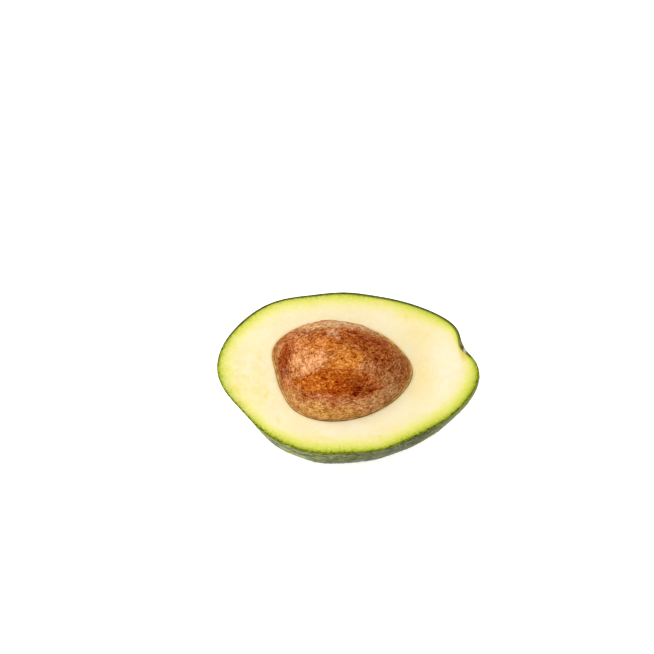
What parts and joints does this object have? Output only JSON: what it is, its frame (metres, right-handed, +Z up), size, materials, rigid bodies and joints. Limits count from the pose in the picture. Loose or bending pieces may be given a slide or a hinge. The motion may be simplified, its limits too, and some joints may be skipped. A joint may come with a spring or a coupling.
{
  "type": "avocado half with seed",
  "caption": "Lengthwise half of a ripe avocado resting on its round back, cut face up, with green skin, yellow-green flesh and the brown seed still in its hollow.",
  "frame": {"origin": "middle of the small flat spot that the skin rests on", "axes": "+Z up, out of the cut face; +X along the fruit's length, from the blossom end to the stem end; +Y to the back"},
  "size_m": [0.0999, 0.0701, 0.0512],
  "materials": {
    "skin": "thin pebbled avocado skin, deep green, waxy, satin",
    "flesh": "ripe buttery flesh, yellow-green at the skin and pale yellow inside, moist",
    "seed": "orange-brown seed coat with fine veins, papery edge, satin"
  },
  "bodies": {
    "root": {"skin": "skin", "flesh": "flesh", "seed": "seed"}
  },
  "joints": []
}
